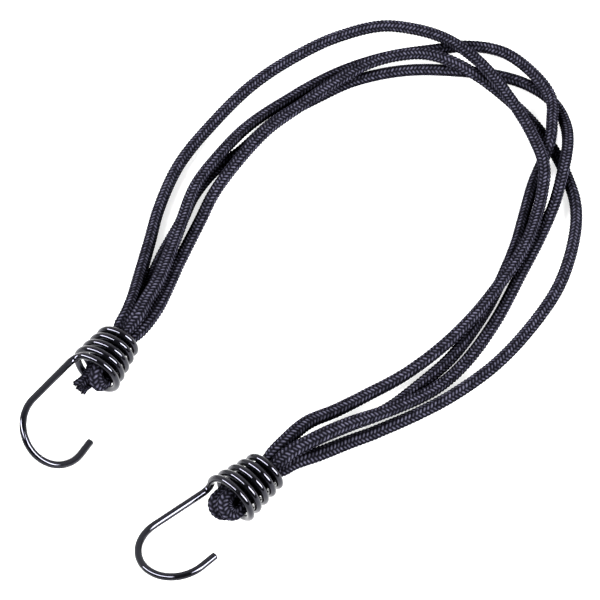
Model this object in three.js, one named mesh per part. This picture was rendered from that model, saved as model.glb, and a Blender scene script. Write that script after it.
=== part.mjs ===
// An elastic hook strap: one braided shock cord, folded into four strands, and a steel wire hook
// at each end whose flared coil grips all four. Millimetres, +Z up. The strap lies on the plane
// z = 0 in a wide loop, with its hooks towards -Y and the turn of the loop towards +Y.
import * as THREE from "three";

// Cord: a braided sheath round a rubber core. A coil's neck squeezes it, and it swells again on
// either side.
const CORD_DIAMETER = 5;
const NECK_CORD_DIAMETER = 4.3;
const MOUTH_CORD_DIAMETER = 4.8;
const SWELL_LENGTH = 10;
const SHEATH_WALL = 0.6;
const CORE_CLEARANCE = 0.3;
const PIECE_GAP = 0.3;
const BUNDLE_GAP = 0.5;

// Hook wire: the coil opens from its neck, at the strands, to its mouth, at the hook.
const WIRE_DIAMETER = 3;
const COIL_TURNS = 4.75;
const TURN_GAP = 1.5;
const COIL_FLARE = 3.1;
const GRIP_CLEARANCE = 0.3;
const BEND_LENGTH = 4.5;
const SHANK_LENGTH = 27.5;
const SHANK_LEAN = 6;
const CROOK_WIDTH = 29.8;
const CROOK_SWEEP = 186;
const TIP_LENGTH = 7;

// Where the strands leave the necks of the coils.
const NECK_STAND_OFF = 4.1;
const NECK_STRAIGHT = 6;
const NECK_SPREAD = 0.5;

// Cord ends in the mouths of the coils, where the cord swells into fat lobes. The tail that shows
// bends at its turn and is cut off at its tip, both measured from the mouth's centre.
const LOBE_DIAMETER = 6.6;
const CUT_DIAMETER = 6.4;
const LOBE_SWELL = 4;
const FOLD_EYE = 0.8;
const TAIL_TURN = [-0.8, 0.5, -1.6];
const TAIL_TIP = [-2.3, -6.5, -2.6];
const SHORT_TAIL_SETBACK = 10;

// Where each hook lies: the centre of its coil's mouth, the way its coil points, how far its neck
// dips, how far its crook is rolled about the coil, and the place of the first strand round the
// coil's neck, in degrees. The strands follow each other by the strand turn, and the mouth turn is
// how far the four twist together from the neck to the mouth. The folds stand out of the mouth by
// their reach, away from the coil's axis by their splay, and both are pushed aside by their shift.
const LEFT_END = {
  x: -33.9, y: -95.4, yaw: 9, dip: 2.5, roll: 40, firstStrand: 20, strandTurn: 90,
  mouthTurn: 0, foldReach: 6.4, foldSplay: 2, foldShift: [0, 0, 0],
};
const RIGHT_END = {
  x: 46.7, y: -106.4, yaw: -7, dip: 1.5, roll: -12, firstStrand: 28, strandTurn: -90,
  mouthTurn: -30, foldReach: 7.5, foldSplay: 1.1, foldShift: [0.6, 0, -0.6],
};

// Routes of the free strands from the left coil to the right one, in the order in which the one
// cord runs through them. Each lies on the surface except where it climbs over another.
const STRAND_ROUTES = [
  [
    [-46.5, -56.5, 10], [-54.5, -43, 6.3], [-64.5, -25.5, 3.4], [-73, -10, 2.5], [-82, 14, 2.5],
    [-85.5, 40.5, 2.5], [-86, 68.5, 2.5], [-81.5, 93.5, 2.5], [-74, 114.5, 2.7], [-62.5, 130, 4.2],
    [-49.5, 136, 6.6], [-34, 139, 8.8], [-16.5, 137, 10.8], [-1, 132.5, 11.3], [16, 125.5, 10.5],
    [32.5, 116, 10.9], [44.5, 106.5, 11], [51, 96.5, 8.6], [58, 81, 7.8], [62.5, 66.5, 8],
    [65.5, 46.5, 8.4], [67, 25.5, 8.4], [65.5, 5.5, 7.2], [61, -13, 4.8], [55.5, -28.5, 4.2],
    [51, -44, 6.2], [46.8, -58, 9.4],
  ],
  [
    [-40, -56.5, 13.2], [-44, -43.5, 11.6], [-49, -32, 9.9], [-56.5, -15.5, 8.5], [-66, 6.5, 8.2],
    [-69, 26.5, 8.3], [-71, 48, 5.4], [-68, 73.5, 2.7], [-61, 97.5, 2.5], [-50.5, 117.5, 2.5],
    [-37.5, 133.5, 2.5], [-25.5, 145.5, 3.5], [-9.5, 151, 6], [11.5, 147, 8.1], [23.5, 141, 8.2],
    [31.5, 130.5, 8.7], [37, 121.5, 8.6], [40, 112, 5.3], [43, 101.5, 3], [49.5, 86.5, 2.5],
    [56.5, 70.5, 2.5], [64, 47, 2.5], [67.5, 31.5, 2.5], [70, 8, 2.5], [68, -13.5, 2.5],
    [65, -30, 2.6], [58.3, -45, 3.8], [53.5, -59, 6.5],
  ],
  [
    [-37.2, -53, 7.6], [-41.5, -41.5, 5.6], [-47, -27.5, 4.2], [-54.5, -5, 3.6], [-59, 10.5, 5.4],
    [-61, 29.5, 7.8], [-62, 50, 8], [-59, 70.5, 8], [-55.5, 90, 8], [-51, 107, 8],
    [-44, 118.5, 8], [-35.5, 126.5, 8.2], [-24, 130.5, 8.3], [-9.5, 132.5, 6.4], [6.5, 132.5, 3.2],
    [22, 129, 2.5], [39, 122, 2.5], [51, 114.5, 2.5], [63.5, 104, 2.5], [73, 90, 2.5],
    [83, 65, 2.5], [86.5, 38.5, 2.5], [86, 14.5, 2.5], [81.5, -7.5, 2.5], [76.3, -22.5, 2.5],
    [68.8, -39.5, 2.6], [62.8, -52.5, 3.8], [58.6, -64.5, 6.4],
  ],
  [
    [-44, -54.5, 5], [-49.5, -43.5, 3.2], [-55, -29.5, 2.5], [-61.5, -8, 2.5], [-66, 4.5, 2.5],
    [-68, 20.5, 2.5], [-66, 36.5, 2.5], [-65, 59.5, 2.5], [-59, 81.5, 2.5], [-52.5, 98.5, 2.5],
    [-40, 116, 2.5], [-26, 128, 2.5], [-4.5, 141, 2.5], [10, 145, 2.5], [23.5, 143.5, 2.7],
    [36, 135, 4.8], [44.5, 124, 7.5], [51.5, 110.5, 8.2], [57.5, 96.5, 6], [62, 80.5, 3],
    [67, 60, 2.5], [73.5, 32.5, 2.5], [76, 8.5, 2.5], [74.4, -10.5, 3.8], [68.2, -31, 7.6],
    [61, -48.5, 11.4], [56.4, -62, 13.6],
  ],
];

// Facets of the solids.
const SHEATH_SIDES = 10;
const CORE_SIDES = 8;
const WIRE_SIDES = 8;
const STRAND_STEPS = 38;
const FOLD_STEPS = 30;
const TAIL_STEPS = 8;
const WIRE_STEPS = 96;
const POINTS_PER_TURN = 24;

// Sizes that follow from the ones above.
const rad = THREE.MathUtils.degToRad;
const cordRadius = CORD_DIAMETER / 2;
const wireRadius = WIRE_DIAMETER / 2;
const spreadSpacing = CORD_DIAMETER + PIECE_GAP + NECK_SPREAD;
const neckSpacing = NECK_CORD_DIAMETER + BUNDLE_GAP;
const bundleRadius = neckSpacing / Math.SQRT2 + NECK_CORD_DIAMETER / 2;
const neckRadius = bundleRadius + GRIP_CLEARANCE + wireRadius;
const mouthRadius = neckRadius + COIL_FLARE;
const coilPitch = WIRE_DIAMETER + TURN_GAP;
const coilLength = coilPitch * COIL_TURNS;
const neckY = coilLength + NECK_STAND_OFF;
const wireCorner = wireRadius / Math.cos(Math.PI / WIRE_SIDES);

const lacqueredSteel = new THREE.MeshStandardMaterial({ color: 0x17171b, roughness: 0.18, metalness: 0.9 });
const braidedPolyester = new THREE.MeshStandardMaterial({ color: 0x27252d, roughness: 0.9, metalness: 0 });
const latexThreads = new THREE.MeshStandardMaterial({ color: 0xcfbf9d, roughness: 0.7, metalness: 0 });

// A cord's route along the surface: it never sinks below its own radius, and its section stays
// upright, with one flat side down.
class LyingRoute extends THREE.CatmullRomCurve3 {
  constructor(points) {
    super(points, false, "centripetal");
  }

  getPoint(t, target = new THREE.Vector3()) {
    super.getPoint(t, target);
    target.z = Math.max(target.z, cordRadius);
    return target;
  }

  computeFrenetFrames(segments) {
    const frames = { tangents: [], normals: [], binormals: [] };
    for (let i = 0; i <= segments; i++) {
      const tangent = this.getTangentAt(i / segments);
      const side = new THREE.Vector3(0, 0, 1).cross(tangent).normalize();
      frames.tangents.push(tangent);
      frames.normals.push(side);
      frames.binormals.push(new THREE.Vector3().crossVectors(tangent, side));
    }
    return frames;
  }
}

// A regular outline that holds a circle of the given diameter, with a flat side down.
function outline(diameter, sides) {
  const corner = diameter / 2 / Math.cos(Math.PI / sides);
  const points = [];
  for (let i = 0; i < sides; i++) {
    const angle = (2 * Math.PI * (i + 0.5)) / sides - Math.PI / 2;
    points.push(new THREE.Vector2(corner * Math.cos(angle), corner * Math.sin(angle)));
  }
  return points;
}

// A section carried along a path, and scaled on the way: a straight prism is bent onto the path.
function sweep(shape, path, steps, scaleAt = () => 1) {
  const geometry = new THREE.ExtrudeGeometry(shape, { depth: 1, steps, bevelEnabled: false });
  const frames = path.computeFrenetFrames(steps);
  const position = geometry.getAttribute("position");
  for (let i = 0; i < position.count; i++) {
    const step = Math.round(position.getZ(i) * steps);
    const scale = scaleAt(step / steps);
    const point = path.getPointAt(step / steps);
    point.addScaledVector(frames.normals[step], scale * position.getX(i));
    point.addScaledVector(frames.binormals[step], scale * position.getY(i));
    position.setXYZ(i, point.x, point.y, point.z);
  }
  geometry.computeVertexNormals();
  return geometry;
}

function namedMesh(name, geometry, material) {
  const mesh = new THREE.Mesh(geometry, material);
  mesh.name = name;
  return mesh;
}

// One stretch of cord, of the given diameter along its path: its hollow sheath and the core in it.
function cordStretch(name, path, steps, diameterAt) {
  const bore = CORD_DIAMETER - 2 * SHEATH_WALL;
  const sheath = new THREE.Shape(outline(CORD_DIAMETER, SHEATH_SIDES));
  sheath.holes.push(new THREE.Path(outline(bore, CORE_SIDES)));
  const core = new THREE.Shape(outline(bore - 2 * CORE_CLEARANCE, CORE_SIDES));
  const scaleAt = (t) => diameterAt(t) / CORD_DIAMETER;
  return [
    namedMesh(`${name}_sheath`, sweep(sheath, path, steps, scaleAt), braidedPolyester),
    namedMesh(`${name}_core`, sweep(core, path, steps, scaleAt), latexThreads),
  ];
}

// A free strand swells over a short length from each coil's neck.
function strand(name, path) {
  const length = path.getLength();
  const diameterAt = (t) => {
    const grown = THREE.MathUtils.smoothstep(length * Math.min(t, 1 - t), 0, SWELL_LENGTH);
    return THREE.MathUtils.lerp(NECK_CORD_DIAMETER, CORD_DIAMETER, grown);
  };
  return cordStretch(name, path, STRAND_STEPS, diameterAt);
}

// The diameter of a gripped cord at y along its coil's axis.
function grippedDiameter(y) {
  const inside = THREE.MathUtils.clamp(y / coilLength, 0, 1);
  return THREE.MathUtils.lerp(MOUTH_CORD_DIAMETER, NECK_CORD_DIAMETER, inside);
}

// A gripped stretch of cord, which swells to its loose diameter outside the mouth.
function gripped(name, path, steps, looseDiameter) {
  const diameterAt = (t) => {
    const y = path.getPointAt(t).y;
    const grown = THREE.MathUtils.smoothstep(-y, 0, LOBE_SWELL);
    return THREE.MathUtils.lerp(grippedDiameter(y), looseDiameter, grown);
  };
  return cordStretch(name, path, steps, diameterAt);
}

// In a hook's own frame the coil's axis is Y, its mouth is at y = 0, its neck towards +Y, and the
// shank leaves the mouth on the -X side.
function coilPoint(turns) {
  const angle = 2 * Math.PI * turns;
  const radius = mouthRadius - (COIL_FLARE * turns) / COIL_TURNS;
  return new THREE.Vector3(-radius * Math.cos(angle), coilPitch * turns, radius * Math.sin(angle));
}

// The shank's start, its direction, and the direction across the crook towards its tip.
function shankFrame() {
  const lean = rad(SHANK_LEAN);
  const start = new THREE.Vector3(-mouthRadius, 0, 0);
  const along = new THREE.Vector3(-Math.sin(lean), -Math.cos(lean), 0);
  const across = new THREE.Vector3(Math.cos(lean), -Math.sin(lean), 0);
  return { start, along, across };
}

// The wire from the crook's tip, round the crook and up the shank.
function crookPoints() {
  const { start, along, across } = shankFrame();
  const radius = CROOK_WIDTH / 2;
  const foot = start.clone().addScaledVector(along, SHANK_LENGTH);
  const centre = foot.clone().addScaledVector(across, radius);
  const arcSteps = Math.round((POINTS_PER_TURN * CROOK_SWEEP) / 360);
  const points = [];
  for (let i = 0; i <= arcSteps; i++) {
    const angle = rad((CROOK_SWEEP * i) / arcSteps);
    const point = centre.clone();
    point.addScaledVector(across, -radius * Math.cos(angle));
    point.addScaledVector(along, radius * Math.sin(angle));
    points.push(point);
  }
  const end = rad(CROOK_SWEEP);
  const tip = points[arcSteps].clone();
  tip.addScaledVector(across, TIP_LENGTH * Math.sin(end));
  tip.addScaledVector(along, TIP_LENGTH * Math.cos(end));
  const middle = start.clone().lerp(foot, 0.5);
  return [tip, ...points.reverse(), middle];
}

// The bend from the shank into the coil's first turn.
function bendPoints(coilStart) {
  const { start, along } = shankFrame();
  const foot = start.clone().addScaledVector(along, BEND_LENGTH);
  const head = coilPoint(coilStart);
  const bend = new THREE.QuadraticBezierCurve3(foot, start, head);
  return bend.getPoints(4).slice(0, -1);
}

function coilPoints(coilStart) {
  const count = Math.round((COIL_TURNS - coilStart) * POINTS_PER_TURN);
  const points = [];
  for (let i = 0; i <= count; i++) {
    points.push(coilPoint(coilStart + ((COIL_TURNS - coilStart) * i) / count));
  }
  return points;
}

// The least clear gap of a coil's wire to itself, between points at least half a turn apart.
function leastGap(points, diameter) {
  let least = Infinity;
  for (let i = 0; i < points.length; i++) {
    for (let j = i + POINTS_PER_TURN / 2; j < points.length; j++) {
      least = Math.min(least, points[i].distanceTo(points[j]));
    }
  }
  return least - diameter;
}

function hook(name, roll) {
  const coilStart = BEND_LENGTH / (2 * Math.PI * mouthRadius);
  const coil = coilPoints(coilStart);
  console.log(`${name}: least gap between turns ${leastGap(coil, WIRE_DIAMETER).toFixed(2)} mm`);
  const points = [...crookPoints(), ...bendPoints(coilStart), ...coil];
  const path = new THREE.CatmullRomCurve3(points, false, "centripetal");
  const section = new THREE.Shape(outline(WIRE_DIAMETER, WIRE_SIDES));
  const mesh = namedMesh(name, sweep(section, path, WIRE_STEPS), lacqueredSteel);
  mesh.rotation.y = rad(roll);
  return mesh;
}

// The place of a strand beside a coil's axis, at y along it.
function seat(end, index, spacing, y) {
  const twist = end.mouthTurn * (1 - THREE.MathUtils.clamp(y / neckY, 0, 1));
  const angle = rad(end.firstStrand + end.strandTurn * index + twist);
  const radius = spacing / Math.SQRT2;
  return new THREE.Vector3(-radius * Math.cos(angle), y, radius * Math.sin(angle));
}

function grippedSeat(end, index, y) {
  return seat(end, index, grippedDiameter(y) + BUNDLE_GAP, y);
}

// Two neighbouring strands turn back into each other in a tight eye outside the mouth.
function foldPath(end, index) {
  const top = neckY - PIECE_GAP;
  const radius = (LOBE_DIAMETER + FOLD_EYE) / 2;
  const first = grippedSeat(end, index, 0);
  const second = grippedSeat(end, index + 1, 0);
  const across = second.clone().sub(first).normalize();
  const centre = first.clone().add(second).multiplyScalar(0.5);
  const outward = centre.clone().normalize();
  const eye = centre.addScaledVector(outward, end.foldSplay).add(new THREE.Vector3(...end.foldShift));
  eye.y = radius + LOBE_DIAMETER / 2 - end.foldReach;
  const lobe = [];
  for (const angle of [0, 45, 90, 135, 180]) {
    const point = eye.clone();
    point.addScaledVector(across, -radius * Math.cos(rad(angle)));
    point.y -= radius * Math.sin(rad(angle));
    lobe.push(point);
  }
  const legIn = [top, coilLength, coilPitch * 2].map((y) => grippedSeat(end, index, y));
  const legOut = [coilPitch * 2, coilLength, top].map((y) => grippedSeat(end, index + 1, y));
  return new THREE.CatmullRomCurve3([...legIn, ...lobe, ...legOut], false, "centripetal");
}

// The tail that shows bends in towards the axis as it leaves the mouth.
function longTailPath(end, index) {
  const points = [neckY - PIECE_GAP, coilLength, coilPitch * 2].map((y) => grippedSeat(end, index, y));
  points.push(new THREE.Vector3(...TAIL_TURN), new THREE.Vector3(...TAIL_TIP));
  return new THREE.CatmullRomCurve3(points, false, "centripetal");
}

function shortTailPath(end, index) {
  const points = [neckY - PIECE_GAP, coilLength, SHORT_TAIL_SETBACK].map((y) => grippedSeat(end, index, y));
  return new THREE.CatmullRomCurve3(points, false, "centripetal");
}

// The height of the mouth's centre when the underside of the coil's first turn lies on the surface.
function mouthHeight(end) {
  const lowest = 0.75 - end.roll / 360;
  const below = mouthRadius - (COIL_FLARE * lowest) / COIL_TURNS;
  const along = coilPitch * lowest;
  return below * Math.cos(rad(end.dip)) + along * Math.sin(rad(end.dip)) + wireCorner;
}

function endGroup(end) {
  const group = new THREE.Group();
  group.position.set(end.x, end.y, mouthHeight(end));
  group.rotation.set(rad(-end.dip), 0, rad(end.yaw), "ZXY");
  group.updateMatrixWorld();
  return group;
}

function freeRoute(index, leftGroup, rightGroup) {
  const leave = (end, group, spacing, y) => group.localToWorld(seat(end, index, spacing, y));
  const points = STRAND_ROUTES[index].map((point) => new THREE.Vector3(...point));
  return new LyingRoute([
    leave(LEFT_END, leftGroup, neckSpacing, neckY),
    leave(LEFT_END, leftGroup, spreadSpacing, neckY + NECK_STRAIGHT),
    ...points,
    leave(RIGHT_END, rightGroup, spreadSpacing, neckY + NECK_STRAIGHT),
    leave(RIGHT_END, rightGroup, neckSpacing, neckY),
  ]);
}

const left = endGroup(LEFT_END);
left.add(hook("left_hook", LEFT_END.roll));
left.add(...gripped("left_long_tail", longTailPath(LEFT_END, 0), TAIL_STEPS, CUT_DIAMETER));
left.add(...gripped("left_fold", foldPath(LEFT_END, 1), FOLD_STEPS, LOBE_DIAMETER));
left.add(...gripped("left_short_tail", shortTailPath(LEFT_END, 3), TAIL_STEPS, CUT_DIAMETER));

const right = endGroup(RIGHT_END);
right.add(hook("right_hook", RIGHT_END.roll));
right.add(...gripped("right_fold_1", foldPath(RIGHT_END, 0), FOLD_STEPS, LOBE_DIAMETER));
right.add(...gripped("right_fold_2", foldPath(RIGHT_END, 2), FOLD_STEPS, LOBE_DIAMETER));

const strap = new THREE.Group();
strap.add(left, right);
for (let index = 0; index < STRAND_ROUTES.length; index++) {
  strap.add(...strand(`strand_${index + 1}`, freeRoute(index, left, right)));
}

export default strap;
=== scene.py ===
"""The looks of an elastic hook strap: a braided cord in four strands and two black wire hooks."""

import math

import bpy
import numpy as np
from mathutils import Matrix, Vector


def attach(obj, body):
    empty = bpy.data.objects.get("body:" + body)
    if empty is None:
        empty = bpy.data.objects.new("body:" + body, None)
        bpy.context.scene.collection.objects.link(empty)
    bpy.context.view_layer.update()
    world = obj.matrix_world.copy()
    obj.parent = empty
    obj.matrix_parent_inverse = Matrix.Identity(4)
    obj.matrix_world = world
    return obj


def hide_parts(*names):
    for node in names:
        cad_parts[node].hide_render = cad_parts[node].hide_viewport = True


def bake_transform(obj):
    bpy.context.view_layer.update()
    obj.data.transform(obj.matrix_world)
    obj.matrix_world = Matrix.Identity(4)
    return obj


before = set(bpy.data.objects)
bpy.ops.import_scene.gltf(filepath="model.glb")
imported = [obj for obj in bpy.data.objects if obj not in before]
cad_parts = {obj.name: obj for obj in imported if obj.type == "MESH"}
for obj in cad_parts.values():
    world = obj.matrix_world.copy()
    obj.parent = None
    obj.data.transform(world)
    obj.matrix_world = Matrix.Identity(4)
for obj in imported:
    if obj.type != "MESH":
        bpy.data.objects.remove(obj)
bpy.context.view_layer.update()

# Metres in a millimetre.
MM = 0.001

# Sizes of the CAD part, in millimetres and degrees.
CORD_D = 5.0
NECK_CORD_D = 4.3
MOUTH_CORD_D = 4.8
BUNDLE_GAP = 0.5
PIECE_GAP = 0.3
WIRE_D = 3.0
WIRE_SIDES = 8
TURNS = 4.75
TURN_GAP = 1.5
FLARE = 3.1
GRIP_CLEARANCE = 0.3
BEND = 4.5
SHANK = 27.5
LEAN = math.radians(6)
CROOK_W = 29.8
SWEEP = math.radians(186)
TIP = 7.0
STAND_OFF = 4.1
NECK_STRAIGHT = 6.0
NECK_SPREAD = 0.5
LOBE_CORD_D = 6.6
FOLD_EYE = 0.8
TAIL_TURN = (-0.8, 0.5, -1.6)
TAIL_TIP = (-2.3, -6.5, -2.6)
SHORT_TAIL_SETBACK = 10.0
LEFT = {
    "x": -33.9, "y": -95.4, "yaw": 9, "dip": 2.5, "roll": 40, "first": 20, "turn": 90,
    "mouth_turn": 0, "reach": 6.4, "splay": 2.0, "shift": (0, 0, 0),
}
RIGHT = {
    "x": 46.7, "y": -106.4, "yaw": -7, "dip": 1.5, "roll": -12, "first": 28, "turn": -90,
    "mouth_turn": -30, "reach": 7.5, "splay": 1.1, "shift": (0.6, 0, -0.6),
}

# The free strands' routes from the left coil to the right one, as in the CAD part.
ROUTES = [
    [
        [-46.5, -56.5, 10], [-54.5, -43, 6.3], [-64.5, -25.5, 3.4], [-73, -10, 2.5], [-82, 14, 2.5],
        [-85.5, 40.5, 2.5], [-86, 68.5, 2.5], [-81.5, 93.5, 2.5], [-74, 114.5, 2.7], [-62.5, 130, 4.2],
        [-49.5, 136, 6.6], [-34, 139, 8.8], [-16.5, 137, 10.8], [-1, 132.5, 11.3], [16, 125.5, 10.5],
        [32.5, 116, 10.9], [44.5, 106.5, 11], [51, 96.5, 8.6], [58, 81, 7.8], [62.5, 66.5, 8],
        [65.5, 46.5, 8.4], [67, 25.5, 8.4], [65.5, 5.5, 7.2], [61, -13, 4.8], [55.5, -28.5, 4.2],
        [51, -44, 6.2], [46.8, -58, 9.4],
    ],
    [
        [-40, -56.5, 13.2], [-44, -43.5, 11.6], [-49, -32, 9.9], [-56.5, -15.5, 8.5], [-66, 6.5, 8.2],
        [-69, 26.5, 8.3], [-71, 48, 5.4], [-68, 73.5, 2.7], [-61, 97.5, 2.5], [-50.5, 117.5, 2.5],
        [-37.5, 133.5, 2.5], [-25.5, 145.5, 3.5], [-9.5, 151, 6], [11.5, 147, 8.1], [23.5, 141, 8.2],
        [31.5, 130.5, 8.7], [37, 121.5, 8.6], [40, 112, 5.3], [43, 101.5, 3], [49.5, 86.5, 2.5],
        [56.5, 70.5, 2.5], [64, 47, 2.5], [67.5, 31.5, 2.5], [70, 8, 2.5], [68, -13.5, 2.5],
        [65, -30, 2.6], [58.3, -45, 3.8], [53.5, -59, 6.5],
    ],
    [
        [-37.2, -53, 7.6], [-41.5, -41.5, 5.6], [-47, -27.5, 4.2], [-54.5, -5, 3.6], [-59, 10.5, 5.4],
        [-61, 29.5, 7.8], [-62, 50, 8], [-59, 70.5, 8], [-55.5, 90, 8], [-51, 107, 8],
        [-44, 118.5, 8], [-35.5, 126.5, 8.2], [-24, 130.5, 8.3], [-9.5, 132.5, 6.4], [6.5, 132.5, 3.2],
        [22, 129, 2.5], [39, 122, 2.5], [51, 114.5, 2.5], [63.5, 104, 2.5], [73, 90, 2.5],
        [83, 65, 2.5], [86.5, 38.5, 2.5], [86, 14.5, 2.5], [81.5, -7.5, 2.5], [76.3, -22.5, 2.5],
        [68.8, -39.5, 2.6], [62.8, -52.5, 3.8], [58.6, -64.5, 6.4],
    ],
    [
        [-44, -54.5, 5], [-49.5, -43.5, 3.2], [-55, -29.5, 2.5], [-61.5, -8, 2.5], [-66, 4.5, 2.5],
        [-68, 20.5, 2.5], [-66, 36.5, 2.5], [-65, 59.5, 2.5], [-59, 81.5, 2.5], [-52.5, 98.5, 2.5],
        [-40, 116, 2.5], [-26, 128, 2.5], [-4.5, 141, 2.5], [10, 145, 2.5], [23.5, 143.5, 2.7],
        [36, 135, 4.8], [44.5, 124, 7.5], [51.5, 110.5, 8.2], [57.5, 96.5, 6], [62, 80.5, 3],
        [67, 60, 2.5], [73.5, 32.5, 2.5], [76, 8.5, 2.5], [74.4, -10.5, 3.8], [68.2, -31, 7.6],
        [61, -48.5, 11.4], [56.4, -62, 13.6],
    ],
]
# The point of each route where its mesh is split between the two ends that pull it.
MIDDLES = [13, 12, 14, 13]

# The braid: yarns each way round, the length of one pick along the cord, and the relief.
YARNS = 8
PICK = 1.74
RELIEF = 0.42
# How flat a yarn is across, and how late it dips at its ends.
YARN_FLAT = 0.7
YARN_DIP = 0.55
# A yarn's painted light: the width of the painted highlight line along its middle, that line's share of
# the tone, and how early the highlight and the rest of the yarn go dark towards its ends, as painted
# shade where it dips under the others.
HIGHLIGHT_WIDTH = 0.17
HIGHLIGHT_SHARE = 0.55
HIGHLIGHT_FADE = 1.2
YARN_SHADE_FADE = 0.8
# The tone varies from yarn to yarn and from one run over the others to the next. The table of runs is
# read in shuffled order.
YARN_TONES = (0.93, 1.06)
RUN_TONES = (0.62, 1.28)
RUNS = 4099
RUN_OFFSET = 8192
RUN_SHUFFLE, YARN_SHUFFLE = 37, 101
# Points round the cord, the step along it, and the steps of the first line between two control points.
RING = 64
STEP = 0.21
SUB = 40

# The braid over its crowns: along the strands, where they bulge out of a coil, half way inside the
# coil, at its mouth in a fold and in a tail, and outside in a fold and at the cut end. The lengths
# over which it swells, and how much closer the picks lie in a fold.
BRAID_D = 5.45
BULGE_D = 6.3
COIL_D = 6.2
FOLD_MOUTH_D = 5.3
TAIL_MOUTH_D = 7.6
LOBE_D = 6.6
CUT_D = 6.6
SWELL = 6.0
BULGE = 75.0
LOBE_SWELL = 4.0
LOBE_PACKING = 0.45

# The cut end: how far its yarns come apart, how uneven its rim is, how deep its hollow, and the dark tone
# of its bottom, painted shade in the hollow.
FRAY = 2.0
FRAY_FLARE = 0.35
RAGGED = (-0.6, 0.9)
HOLLOW = 1.5
END_SHADE_TONE = 0.1
# The loose fibres at its rim: their place on the rim's radius and how deep they start, their lean, sway,
# curl, twist and reach, how much they taper, and their tones.
FIBRES = 70
FIBRE_D = 0.2
FIBRE_ROOT = (0.72, 1.04)
FIBRE_SINK = 0.4
FIBRE_LEAN = (-0.1, 0.7)
FIBRE_SWAY = (-0.5, 0.5)
FIBRE_CURL = (-0.3, 0.4)
FIBRE_TWIST = (-0.4, 0.4)
FIBRE_REACH = (0.7, 1.9)
FIBRE_TAPER = 0.6
FIBRE_TONES = (0.3, 1.1)
FIBRE_SIDES = FIBRE_RINGS = 5

# The hooks' wire: points on the crook, the bend and a turn of the coil, places on the shank, the step
# along the wire and the points round it, and the easing of its cut ends.
ARC_POINTS = 60
BEND_POINTS = 8
TURN_POINTS = 60
SHANK_PLACES = (0.35, 0.7)
WIRE_SUB = 8
WIRE_STEP = 0.35
WIRE_RING = 28
EASE = 0.25
EASE_CORNER = 0.3

# Colours: the braid from painted shade in its gaps to a painted highlight on its crowns, and the lacquer
# with its shine.
BRAID_SHADE_TO_HIGHLIGHT = {
    0.0: (0.0008, 0.0008, 0.0011, 1),
    0.25: (0.0095, 0.0092, 0.0136, 1),
    0.5: (0.0300, 0.0290, 0.0428, 1),
    1.0: (0.085, 0.082, 0.121, 1),
}
LACQUER = (0.0016, 0.0016, 0.0021, 1)
SHINE = (0.8, 0.8, 1.0, 1)
WHITE = (1, 1, 1, 1)

wire_r = WIRE_D / 2
spread_spacing = CORD_D + PIECE_GAP + NECK_SPREAD
neck_spacing = NECK_CORD_D + BUNDLE_GAP
neck_r = neck_spacing / math.sqrt(2) + NECK_CORD_D / 2 + GRIP_CLEARANCE + wire_r
mouth_r = neck_r + FLARE
pitch = WIRE_D + TURN_GAP
coil_length = pitch * TURNS
neck_y = coil_length + STAND_OFF
random = np.random.default_rng(7)


def smooth(x):
    x = np.clip(x, 0, 1)
    return x * x * (3 - 2 * x)


# Lines in space.
def spline(points, steps):
    """Points along a centripetal Catmull-Rom line, so many steps from each control point to the next."""
    p = np.asarray(points, float)
    p = np.vstack([2 * p[0] - p[1], p, 2 * p[-1] - p[-2]])
    out = []
    for i in range(1, len(p) - 2):
        x0, x1, x2, x3 = p[i - 1 : i + 3]
        d0, d1, d2 = (math.sqrt(np.linalg.norm(b - a)) for a, b in ((x0, x1), (x1, x2), (x2, x3)))
        t1 = ((x1 - x0) / d0 - (x2 - x0) / (d0 + d1) + (x2 - x1) / d1) * d1
        t2 = ((x2 - x1) / d1 - (x3 - x1) / (d1 + d2) + (x3 - x2) / d2) * d1
        t = (np.arange(steps) / steps)[:, None]
        h = x1 + t1 * t + (-3 * x1 + 3 * x2 - 2 * t1 - t2) * t**2 + (2 * x1 - 2 * x2 + t1 + t2) * t**3
        out.append(h)
    out.append(p[-2][None])
    return np.vstack(out)


def lengths(line):
    return np.concatenate([[0], np.cumsum(np.linalg.norm(np.diff(line, axis=0), axis=1))])


def resample(line, step):
    """Evenly spaced points on a line, its ends kept."""
    s = lengths(line)
    at = np.linspace(0, s[-1], max(3, int(round(s[-1] / step)) + 1))
    return np.stack([np.interp(at, s, line[:, k]) for k in range(3)], 1)


def frames(line):
    """Directions along a line, and across it without twist."""
    t = np.gradient(line, axis=0)
    t /= np.linalg.norm(t, axis=1)[:, None]
    n = np.empty_like(t)
    across = np.cross(t[0], (0.0, 0.0, 1.0))
    n[0] = across / np.linalg.norm(across)
    for i in range(1, len(t)):
        v = n[i - 1] - (n[i - 1] @ t[i]) * t[i]
        n[i] = v / np.linalg.norm(v)
    return t, n, np.cross(t, n)


# Hooks and cord in the frame of an end: the coil's axis is Y and its mouth is at y = 0.
def end_place(end):
    dip, yaw = math.radians(-end["dip"]), math.radians(end["yaw"])
    rx = np.array([[1, 0, 0], [0, math.cos(dip), -math.sin(dip)], [0, math.sin(dip), math.cos(dip)]])
    rz = np.array([[math.cos(yaw), -math.sin(yaw), 0], [math.sin(yaw), math.cos(yaw), 0], [0, 0, 1]])
    # The first turn's lowest place rests on the floor, on a corner of the CAD wire's polygon.
    lowest = 0.75 - end["roll"] / 360
    below = mouth_r - FLARE * lowest / TURNS
    corner = wire_r / math.cos(math.pi / WIRE_SIDES)
    height = below * math.cos(-dip) + pitch * lowest * math.sin(-dip) + corner
    return rz @ rx, np.array([end["x"], end["y"], height])


def to_world(end, points):
    turn, origin = end_place(end)
    return np.asarray(points, float) @ turn.T + origin


def coil_point(turns):
    a = 2 * math.pi * turns
    r = mouth_r - FLARE * turns / TURNS
    return np.stack([-r * np.cos(a), pitch * turns, r * np.sin(a)], -1)


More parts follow.
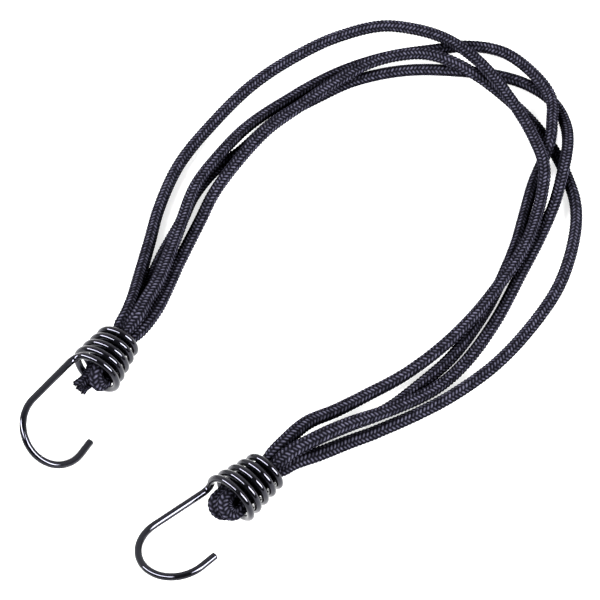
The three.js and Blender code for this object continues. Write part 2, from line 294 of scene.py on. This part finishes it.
def hook_line(end):
    """The wire's middle line, from the crook's tip to the neck of the coil."""
    along = np.array([-math.sin(LEAN), -math.cos(LEAN), 0])
    across = np.array([math.cos(LEAN), -math.sin(LEAN), 0])
    start = np.array([-mouth_r, 0, 0])
    foot = start + along * SHANK
    centre = foot + across * CROOK_W / 2
    a = np.linspace(SWEEP, 0, ARC_POINTS)[:, None]
    arc = centre - across * CROOK_W / 2 * np.cos(a) + along * CROOK_W / 2 * np.sin(a)
    tip = arc[0] + TIP * (across * math.sin(SWEEP) + along * math.cos(SWEEP))
    coil_start = BEND / (2 * math.pi * mouth_r)
    foot_of_bend, head = start + along * BEND, coil_point(np.array(coil_start))
    t = np.linspace(0, 1, BEND_POINTS)[:, None]
    bend = (1 - t) ** 2 * foot_of_bend + 2 * t * (1 - t) * start + t**2 * head
    coil = coil_point(np.linspace(coil_start, TURNS, int(TURN_POINTS * TURNS)))
    shank = foot + (foot_of_bend - foot) * np.array(SHANK_PLACES)[:, None]
    points = np.vstack([tip, arc, shank, bend, coil[1:]])
    c, s = math.cos(math.radians(end["roll"])), math.sin(math.radians(end["roll"]))
    x, y, z = points.T
    return to_world(end, np.stack([x * c + z * s, y, -x * s + z * c], 1))


def gripped_d(y):
    """The CAD cord's diameter in a coil, which narrows from mouth to neck."""
    inside = np.clip(y / coil_length, 0, 1)
    return MOUTH_CORD_D + (NECK_CORD_D - MOUTH_CORD_D) * inside


def seat(end, index, spacing, y):
    """The place of a strand beside a coil's axis."""
    twist = end["mouth_turn"] * (1 - min(max(y / neck_y, 0), 1))
    a = math.radians(end["first"] + end["turn"] * index + twist)
    r = spacing / math.sqrt(2)
    return np.array([-r * math.cos(a), y, r * math.sin(a)])


def gripped_seat(end, index, y):
    return seat(end, index, float(gripped_d(y)) + BUNDLE_GAP, y)


def legs(end, index, heights):
    return [gripped_seat(end, index, y) for y in heights]


def fold_points(end, index):
    """Two neighbouring strands turn back into each other outside the mouth."""
    r = (LOBE_CORD_D + FOLD_EYE) / 2
    first, second = gripped_seat(end, index, 0), gripped_seat(end, index + 1, 0)
    across = (second - first) / np.linalg.norm(second - first)
    centre = (first + second) / 2
    eye = centre + centre / np.linalg.norm(centre) * end["splay"] + np.array(end["shift"])
    eye[1] = r + LOBE_CORD_D / 2 - end["reach"]
    lobe = []
    for a in np.radians([0, 45, 90, 135, 180]):
        lobe.append(eye - across * r * math.cos(a) - np.array([0, r * math.sin(a), 0]))
    return lobe


# The whole cord as one line, cut where its pieces meet: inside the coils and half way along.
INSIDE = 2 * pitch
LEG = [coil_length, INSIDE]


def strand_points(index):
    ends = []
    for end in (LEFT, RIGHT):
        near = seat(end, index, neck_spacing, neck_y)
        far = seat(end, index, spread_spacing, neck_y + NECK_STRAIGHT)
        ends.append(to_world(end, [near, far]))
    route = np.array(ROUTES[index], float)
    points = np.vstack([ends[0], route, ends[1][::-1]])
    return points, MIDDLES[index] + 2


def cord_plan():
    """Control points of the whole cord, and the pieces between its cuts."""
    points, cuts = [], []

    def add(new, cut=None):
        for k, point in enumerate(new):
            if k == cut:
                cuts.append(len(points))
            points.append(point)

    add(to_world(LEFT, [TAIL_TIP, TAIL_TURN]), 0)
    add(to_world(LEFT, legs(LEFT, 0, [INSIDE, coil_length])), 0)
    for index, (end, other) in enumerate(((RIGHT, LEFT), (LEFT, RIGHT), (RIGHT, LEFT), (LEFT, None))):
        line, middle = strand_points(index)
        if index % 2:
            line, middle = line[::-1], len(line) - 1 - middle
        add(line, middle)
        if other is None:
            break
        add(to_world(end, legs(end, index, LEG)), 1)
        add(to_world(end, fold_points(end, index)))
        add(to_world(end, legs(end, index + 1, LEG[::-1])), 0)
    short = legs(LEFT, 3, [coil_length, (coil_length + SHORT_TAIL_SETBACK) / 2])
    add(to_world(LEFT, short), 1)
    add(to_world(LEFT, legs(LEFT, 3, [SHORT_TAIL_SETBACK])), 0)
    return np.array(points), cuts


PIECES = [
    ("left_long_tail", LEFT, "left_end", "tail"),
    ("strand_1_left", LEFT, "left_end", "out"),
    ("strand_1_right", RIGHT, "right_end", "in"),
    ("right_fold_1", RIGHT, "right_end", "fold"),
    ("strand_2_right", RIGHT, "right_end", "out"),
    ("strand_2_left", LEFT, "left_end", "in"),
    ("left_fold", LEFT, "left_end", "fold"),
    ("strand_3_left", LEFT, "left_end", "out"),
    ("strand_3_right", RIGHT, "right_end", "in"),
    ("right_fold_2", RIGHT, "right_end", "fold"),
    ("strand_4_right", RIGHT, "right_end", "out"),
    ("strand_4_left", LEFT, "left_end", "in"),
    ("left_short_tail", LEFT, "left_end", "tail"),
]


def coil_y(end, line):
    turn, origin = end_place(end)
    return ((line - origin) @ turn)[:, 1]


def pick_packing(kind, end, line):
    """How close the picks lie, against those of a free strand."""
    if kind in ("fold", "tail"):
        return 1 + LOBE_PACKING * smooth(-coil_y(end, line) / LOBE_SWELL)
    return np.ones(len(line))


def cord_diameter(kind, end, line):
    """The braid's diameter along a piece, held in the coil and loose outside it."""
    y = coil_y(end, line)
    mouth = TAIL_MOUTH_D if kind == "tail" else FOLD_MOUTH_D
    held = np.interp(y, [0, INSIDE, coil_length], [mouth, COIL_D, NECK_CORD_D])
    if kind in ("fold", "tail"):
        loose = LOBE_D if kind == "fold" else CUT_D
        return held + (loose - held) * smooth(-y / LOBE_SWELL)
    s = lengths(line)
    if kind == "in":
        s = s[-1] - s
    out = s - s[y > coil_length].min()
    loose = BRAID_D + (BULGE_D - BRAID_D) * (1 - smooth((out - SWELL) / BULGE))
    return held + (loose - held) * smooth(out / SWELL)


# The braid.
def braid(angle, along):
    """Height of the braid's surface, from 0 to 1, and its tone: a painted highlight along the crowns and
    painted shade towards the gaps, times a random tone.
    """
    u = YARNS * angle[None, :] / (2 * math.pi)
    v = along[:, None] / PICK
    a, b = u + v, u - v
    i, j = np.floor(a), np.floor(b)
    k = np.mod(i + j, 4)
    over = k < 2
    f = np.where(over, a - i, b - j)
    g = np.where(over, k + (b - j), k - 2 + (a - i)) / 2
    across, down = 1 - (2 * f - 1) ** 2, np.sin(math.pi * np.clip(g, 0, 1))
    swell = across**YARN_FLAT
    height = swell * down**YARN_DIP
    yarn = np.where(over, np.mod(i, YARNS), YARNS + np.mod(j, YARNS)).astype(int)
    run = np.floor((np.where(over, j, i) + RUN_OFFSET) / 2).astype(int)
    # Painted highlight: a light line along each yarn's middle; the rest of the yarn darkens towards its
    # edges and ends as painted shade.
    painted_highlight = np.exp(-(((f - 0.5) / HIGHLIGHT_WIDTH) ** 2)) * down**HIGHLIGHT_FADE
    highlight_and_shade = (1 - HIGHLIGHT_SHARE) * swell * down**YARN_SHADE_FADE + HIGHLIGHT_SHARE * painted_highlight
    shade = random_yarn[yarn] * random_run[(run * RUN_SHUFFLE + yarn * YARN_SHUFFLE) % RUNS]
    return height, highlight_and_shade * shade


random_yarn = random.uniform(*YARN_TONES, 2 * YARNS)
random_run = random.uniform(*RUN_TONES, RUNS)


def mesh_object(name, verts, quads, tris=(), tone=None):
    """A smooth mesh from millimetre points, with an optional tone for each point."""
    quads = np.asarray(quads, np.int32).reshape(-1, 4)
    tris = np.asarray(tris, np.int32).reshape(-1, 3)
    me = bpy.data.meshes.new(name)
    me.vertices.add(len(verts))
    me.vertices.foreach_set("co", (np.asarray(verts) * MM).astype(np.float32).ravel())
    loops = np.concatenate([quads.ravel(), tris.ravel()])
    me.loops.add(len(loops))
    me.loops.foreach_set("vertex_index", loops)
    starts = np.concatenate([np.arange(len(quads)) * 4, quads.size + np.arange(len(tris)) * 3])
    me.polygons.add(len(starts))
    me.polygons.foreach_set("loop_start", starts.astype(np.int32))
    me.polygons.foreach_set("use_smooth", np.ones(len(starts), bool))
    me.update(calc_edges=True)
    if tone is not None:
        layer = me.attributes.new("tone", "FLOAT", "POINT")
        layer.data.foreach_set("value", np.asarray(tone, np.float32).ravel())
    obj = bpy.data.objects.new(name, me)
    bpy.context.scene.collection.objects.link(obj)
    return obj


def ring_faces(rings, sides):
    """Quads between rings of points."""
    i = np.arange(rings - 1)[:, None] * sides
    k = np.arange(sides)[None, :]
    n = (k + 1) % sides
    return np.stack([i + k, i + n, i + sides + n, i + sides + k], -1).reshape(-1, 4)


def cap_faces(ring_start, sides, centre, flip):
    """Triangles from a ring of points to its centre."""
    k = np.arange(sides)
    n = (k + 1) % sides
    a, b = (n, k) if flip else (k, n)
    return np.stack([ring_start + a, ring_start + b, np.full(sides, centre)], -1)


def braided(name, line, n, b, along, diameter, cut=False):
    """A braided length of cord with closed ends, or with a ragged and hollow cut at its start."""
    angle = np.linspace(0, 2 * math.pi, RING, endpoint=False)
    height, tone = braid(angle, along)
    r = diameter[:, None] / 2 - RELIEF * (1 - height)
    centres = np.repeat(line[:, None], RING, 1)
    ends = np.stack([line[0], line[-1]])
    if cut:
        apart = np.clip(1 - lengths(line) / FRAY, 0, 1)[:, None]
        ragged = np.repeat(random.uniform(*RAGGED, RING // 2), 2)[None, :]
        forth = (line[0] - line[1]) / np.linalg.norm(line[0] - line[1])
        r = r + FRAY_FLARE * apart**2
        centres = centres + (apart * ragged)[..., None] * forth
        ends[0] -= HOLLOW * forth
    c, s = np.cos(angle)[None, :, None], np.sin(angle)[None, :, None]
    verts = centres + r[..., None] * (c * n[:, None] + s * b[:, None])
    verts = verts.reshape(-1, 3)
    rings = len(line)
    quads = ring_faces(rings, RING)
    tris = np.vstack([
        cap_faces(0, RING, len(verts), True),
        cap_faces((rings - 1) * RING, RING, len(verts) + 1, False),
    ])
    verts = np.vstack([verts, ends])
    # Each end cap darkens towards its centre: painted shade, as at the bottom of the cut end's hollow.
    tone = np.concatenate([tone.reshape(-1), [END_SHADE_TONE] * len(ends)])
    return mesh_object(name, verts, quads, tris, tone)


def loose_fibres(name, line, n, b, radius):
    """Fine yarn ends that stand out of a cut rim."""
    forth = (line[0] - line[1]) / np.linalg.norm(line[0] - line[1])
    ring = np.linspace(0, 2 * math.pi, FIBRE_SIDES, endpoint=False)
    c, s = np.cos(ring)[None, :, None], np.sin(ring)[None, :, None]
    t = np.linspace(0, 1, FIBRE_RINGS)[:, None]
    thick = FIBRE_D / 2 * (1 - FIBRE_TAPER * t[:, 0])
    tube_points = FIBRE_RINGS * FIBRE_SIDES
    last_ring = tube_points - FIBRE_SIDES
    verts, quads, tris = [], [], []
    for _ in range(FIBRES):
        a = random.uniform(0, 2 * math.pi)
        out = math.cos(a) * n[0] + math.sin(a) * b[0]
        side = np.cross(forth, out)
        root = line[0] + out * radius * random.uniform(*FIBRE_ROOT) - FIBRE_SINK * forth
        way = forth + out * random.uniform(*FIBRE_LEAN) + side * random.uniform(*FIBRE_SWAY)
        bend = out * random.uniform(*FIBRE_CURL) + side * random.uniform(*FIBRE_TWIST)
        reach = random.uniform(*FIBRE_REACH)
        hair = root + reach * (t * way + t**2 * bend)
        _, across, other = frames(hair)
        tube = hair[:, None] + thick[:, None, None] * (c * across[:, None] + s * other[:, None])
        base = len(verts) * (tube_points + 2)
        quads.append(ring_faces(FIBRE_RINGS, FIBRE_SIDES) + base)
        tris.append(cap_faces(0, FIBRE_SIDES, tube_points, True) + base)
        tris.append(cap_faces(last_ring, FIBRE_SIDES, tube_points + 1, False) + base)
        verts.append(np.vstack([tube.reshape(-1, 3), hair[:1], hair[-1:]]))
    verts = np.vstack(verts)
    tone = np.repeat(random.uniform(*FIBRE_TONES, FIBRES), tube_points + 2)
    return mesh_object(name, verts, np.vstack(quads), np.vstack(tris), tone)


def wire(name, line, radius, sides):
    """A round wire with eased, cut-off ends."""
    t, n, b = frames(line)
    inset = np.array([EASE, EASE * EASE_CORNER, 0.0])
    head = [line[0] + t[0] * d for d in inset[::-1]]
    tail = [line[-1] - t[-1] * d for d in inset]
    body = line[2:-2]
    centres = np.vstack([head, body, tail])
    n = np.vstack([n[:1]] * 3 + [n[2:-2]] + [n[-1:]] * 3)
    b = np.vstack([b[:1]] * 3 + [b[2:-2]] + [b[-1:]] * 3)
    r = np.full(len(centres), radius)
    r[:3] -= inset
    r[-3:] -= inset[::-1]
    a = np.linspace(0, 2 * math.pi, sides, endpoint=False)
    c, s = np.cos(a)[None, :, None], np.sin(a)[None, :, None]
    verts = (centres[:, None] + r[:, None, None] * (c * n[:, None] + s * b[:, None])).reshape(-1, 3)
    rings = len(centres)
    tris = np.vstack([
        cap_faces(0, sides, len(verts), True),
        cap_faces((rings - 1) * sides, sides, len(verts) + 1, False),
    ])
    verts = np.vstack([verts, centres[:1], centres[-1:]])
    return mesh_object(name, verts, ring_faces(rings, sides), tris)


# Materials.
def material(name):
    mat = bpy.data.materials.new(name)
    mat.use_nodes = True
    nodes = mat.node_tree.nodes
    return mat, nodes, mat.node_tree.links, nodes["Principled BSDF"]


def braid_material():
    mat, nodes, links, shader = material("black_braid")
    # The tone attribute carries the braid's painted highlight and painted shade, which the ramp turns
    # into colour.
    tone = nodes.new("ShaderNodeAttribute")
    tone.attribute_name = "tone"
    ramp = nodes.new("ShaderNodeValToRGB")
    stops = ramp.color_ramp.elements
    for place in list(BRAID_SHADE_TO_HIGHLIGHT)[1:-1]:
        stops.new(place)
    for stop, colour in zip(stops, BRAID_SHADE_TO_HIGHLIGHT.values()):
        stop.color = colour
    links.new(tone.outputs["Fac"], ramp.inputs["Fac"])
    # Painted shade: ambient occlusion darkens the braid's colour in its gaps and where strands lie close
    # together.
    painted_shade_ao = nodes.new("ShaderNodeAmbientOcclusion")
    painted_shade_ao.samples = 6
    painted_shade_ao.inputs["Distance"].default_value = 0.008
    painted_shade_depth = nodes.new("ShaderNodeMath")
    painted_shade_depth.operation = "POWER"
    painted_shade_depth.inputs[1].default_value = 1.6
    painted_shade_dim = nodes.new("ShaderNodeVectorMath")
    painted_shade_dim.operation = "SCALE"
    links.new(painted_shade_ao.outputs["AO"], painted_shade_depth.inputs[0])
    links.new(ramp.outputs["Color"], painted_shade_dim.inputs[0])
    links.new(painted_shade_depth.outputs["Value"], painted_shade_dim.inputs["Scale"])
    links.new(painted_shade_dim.outputs["Vector"], shader.inputs["Base Color"])
    fibres = nodes.new("ShaderNodeTexNoise")
    fibres.inputs["Scale"].default_value = 5000
    bump = nodes.new("ShaderNodeBump")
    bump.inputs["Strength"].default_value = 0.2
    bump.inputs["Distance"].default_value = 0.0001
    links.new(fibres.outputs["Fac"], bump.inputs["Height"])
    links.new(bump.outputs["Normal"], shader.inputs["Normal"])
    shader.inputs["Roughness"].default_value = 0.6
    shader.inputs["Specular IOR Level"].default_value = 0.0
    return mat


def wire_material():
    mat, nodes, links, shader = material("black_wire")
    shader.inputs["Base Color"].default_value = LACQUER
    shader.inputs["IOR"].default_value = 1.4
    shader.inputs["Specular Tint"].default_value = SHINE
    wear = nodes.new("ShaderNodeTexNoise")
    wear.inputs["Scale"].default_value = 350
    wear.inputs["Detail"].default_value = 4
    span = nodes.new("ShaderNodeMapRange")
    span.inputs["To Min"].default_value = 0.04
    span.inputs["To Max"].default_value = 0.1
    links.new(wear.outputs["Fac"], span.inputs["Value"])
    links.new(span.outputs["Result"], shader.inputs["Roughness"])
    bump = nodes.new("ShaderNodeBump")
    bump.inputs["Strength"].default_value = 0.015
    bump.inputs["Distance"].default_value = 0.0001
    links.new(wear.outputs["Fac"], bump.inputs["Height"])
    links.new(bump.outputs["Normal"], shader.inputs["Normal"])
    return mat


# Build the cord.
braid_look, wire_look = braid_material(), wire_material()
control, cuts = cord_plan()
dense = spline(control, SUB)
# The free strands, braid and all, stay above the floor.
free = np.zeros(len(dense), bool)
free[cuts[1] * SUB : cuts[-2] * SUB] = True
dense[free, 2] = np.maximum(dense[free, 2], BRAID_D / 2)
parts = [resample(dense[a * SUB : b * SUB + 1], STEP) for a, b in zip(cuts, cuts[1:])]
whole = np.vstack([parts[0]] + [p[1:] for p in parts[1:]])
packing = [pick_packing(kind, end, line)[1:] for (_, end, _, kind), line in zip(PIECES, parts)]
along = np.concatenate([[0], np.cumsum(np.diff(lengths(whole)) * np.concatenate(packing))])
_, normal, binormal = frames(whole)
start = 0
for (name, end, body, kind), line in zip(PIECES, parts):
    stop = start + len(line)
    part_slice = slice(start, stop)
    start = stop - 1
    d = cord_diameter(kind, end, line)
    across, other = normal[part_slice], binormal[part_slice]
    obj = braided(name, line, across, other, along[part_slice], d, name == "left_long_tail")
    obj.data.materials.append(braid_look)
    if name == "left_long_tail":
        fibres = loose_fibres("left_long_tail_fray", line, across, other, d[0] / 2)
        fibres.data.materials.append(braid_look)
        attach(fibres, body)
    if kind in ("fold", "tail"):
        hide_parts(name + "_sheath", name + "_core")
        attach(obj, body)
        continue
    strand = name.rsplit("_", 1)[0]
    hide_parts(strand + "_sheath", strand + "_core")
    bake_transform(obj)

# Build the hooks.
for name, end in (("left_hook", LEFT), ("right_hook", RIGHT)):
    line = resample(spline(hook_line(end), WIRE_SUB), WIRE_STEP)
    obj = wire(name + "_wire", line, wire_r, WIRE_RING)
    obj.data.materials.append(wire_look)
    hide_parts(name)
    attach(obj, name)


# Studio.
def area_light(name, place, along, width, height, power):
    """A rectangle of light that faces the object, its width along the given direction."""
    data = bpy.data.lights.new(name, "AREA")
    data.shape = "RECTANGLE"
    data.size, data.size_y = width, height
    data.energy = power
    obj = bpy.data.objects.new(name, data)
    bpy.context.scene.collection.objects.link(obj)
    z = place.normalized()
    y = z.cross(Vector(along)).normalized()
    obj.matrix_world = Matrix((y.cross(z), y, z)).transposed().to_4x4()
    obj.location = place
    return obj


# The world's light, the floor's grey, and the glow that takes it to white for the camera.
FILL, FLOOR, FLOOR_LIFT = 0.33, 0.5, 0.72
FLOOR_HALF = 6
# What gloss mirrors: a white studio that is dark on the camera's side, and a floor that glows for glossy
# rays only, a painted reflection that is dark in front of the coils as a painted shadow and bright from
# there on.
FRONT, GLOSS_WHITE, GLOSS_DARK, FRONT_EDGE = (0.515, -0.787, 0.328), 1.3, 0.05, (-0.2, 0.5)
FLOOR_GLOW_RAMP = (-0.135, -0.105, 0.0, 1.2)
# On each side a key that lights the braid alone and, in front of it, a strip for the streaks on the wire.
KEY_SIZE, KEY_POWER, KEY_DISTANCE = 1.2, 120, 2.2
STRIP_GLOW, STRIP_DISTANCE = 220, 1.3
LIGHTS = (
    # Side, direction, direction of the strip, its width and height.
    ("left", (-0.348, -0.659, 0.666), (0.956, -0.079, 0.278), 1.45, 0.3),
    ("right", (0.805, 0.021, 0.592), (0.506, 0.463, -0.727), 0.95, 0.5),
)


def floor_material():
    mat, nodes, links, shader = material("white_floor")
    shader.inputs["Base Color"].default_value = (FLOOR, FLOOR, FLOOR, 1)
    shader.inputs["Roughness"].default_value = 0.8
    shader.inputs["Specular IOR Level"].default_value = 0.1
    shader.inputs["Emission Color"].default_value = WHITE
    ray = nodes.new("ShaderNodeLightPath")
    # Painted reflection: for glossy rays the floor glows, dark as a painted shadow in front of the coils.
    geometry = nodes.new("ShaderNodeNewGeometry")
    axes = nodes.new("ShaderNodeSeparateXYZ")
    reflected_glow = nodes.new("ShaderNodeMapRange")
    for socket, value in zip(("From Min", "From Max", "To Min", "To Max"), FLOOR_GLOW_RAMP):
        reflected_glow.inputs[socket].default_value = value
    glossy_glow = nodes.new("ShaderNodeMath")
    glossy_glow.operation = "MULTIPLY"
    lift = nodes.new("ShaderNodeMix")
    lift.inputs["B"].default_value = FLOOR_LIFT
    links.new(geometry.outputs["Position"], axes.inputs["Vector"])
    links.new(axes.outputs["Y"], reflected_glow.inputs["Value"])
    links.new(reflected_glow.outputs["Result"], glossy_glow.inputs[0])
    links.new(ray.outputs["Is Glossy Ray"], glossy_glow.inputs[1])
    links.new(glossy_glow.outputs["Value"], lift.inputs["A"])
    links.new(ray.outputs["Is Camera Ray"], lift.inputs["Factor"])
    links.new(lift.outputs["Result"], shader.inputs["Emission Strength"])
    return mat


def studio_world():
    world = bpy.data.worlds.new("studio")
    world.use_nodes = True
    nodes, links = world.node_tree.nodes, world.node_tree.links
    direction = nodes.new("ShaderNodeTexCoord")
    front = nodes.new("ShaderNodeVectorMath")
    front.operation = "DOT_PRODUCT"
    front.inputs[1].default_value = FRONT
    level = nodes.new("ShaderNodeMapRange")
    level.interpolation_type = "SMOOTHSTEP"
    level.inputs["From Min"].default_value, level.inputs["From Max"].default_value = FRONT_EDGE
    level.inputs["To Min"].default_value, level.inputs["To Max"].default_value = GLOSS_WHITE, GLOSS_DARK
    ray = nodes.new("ShaderNodeLightPath")
    choice = nodes.new("ShaderNodeMix")
    choice.inputs["A"].default_value = FILL
    links.new(ray.outputs["Is Glossy Ray"], choice.inputs["Factor"])
    links.new(direction.outputs["Generated"], front.inputs[0])
    links.new(front.outputs["Value"], level.inputs["Value"])
    links.new(level.outputs["Result"], choice.inputs["B"])
    links.new(choice.outputs["Result"], nodes["Background"].inputs["Strength"])
    nodes["Background"].inputs["Color"].default_value = WHITE
    return world


scene = bpy.context.scene
floor_mesh = bpy.data.meshes.new("floor")
corners = [(x * FLOOR_HALF, y * FLOOR_HALF, 0) for x, y in ((-1, -1), (1, -1), (1, 1), (-1, 1))]
floor_mesh.from_pydata(corners, [], [(0, 1, 2, 3)])
floor = bpy.data.objects.new("floor", floor_mesh)
scene.collection.objects.link(floor)
floor.data.materials.append(floor_material())

scene.world = studio_world()

for side, direction, strip_way, width, height in LIGHTS:
    way = Vector(direction).normalized()
    key = area_light(side + "_key", way * KEY_DISTANCE, strip_way, KEY_SIZE, KEY_SIZE, KEY_POWER)
    key.visible_glossy = False
    glow = STRIP_GLOW * width * height
    strip = area_light(side + "_strip", way * STRIP_DISTANCE, strip_way, width, height, glow)
    strip.visible_diffuse = False

# Camera at the photo's place: metres in a pixel where it aims, the picture's side in pixels, and the
# sensor's in millimetres.
AIM = Vector((0.0025, -0.0075, 0))
AZIMUTH, ELEVATION, DISTANCE = math.radians(39), math.radians(54.5), 1.1
PIXEL, PICTURE, SENSOR = 0.000417, 600, 36
back = Vector((
    math.sin(AZIMUTH) * math.cos(ELEVATION),
    -math.cos(AZIMUTH) * math.cos(ELEVATION),
    math.sin(ELEVATION),
))
camera_data = bpy.data.cameras.new("camera")
camera_data.sensor_width = SENSOR
camera_data.lens = SENSOR * DISTANCE / (PICTURE * PIXEL)
camera = bpy.data.objects.new("camera", camera_data)
scene.collection.objects.link(camera)
camera.location = AIM + back * DISTANCE
camera.rotation_euler = (-back).to_track_quat("-Z", "Y").to_euler()
scene.camera = camera
scene.render.resolution_x = scene.render.resolution_y = PICTURE
scene.view_settings.view_transform = "Standard"
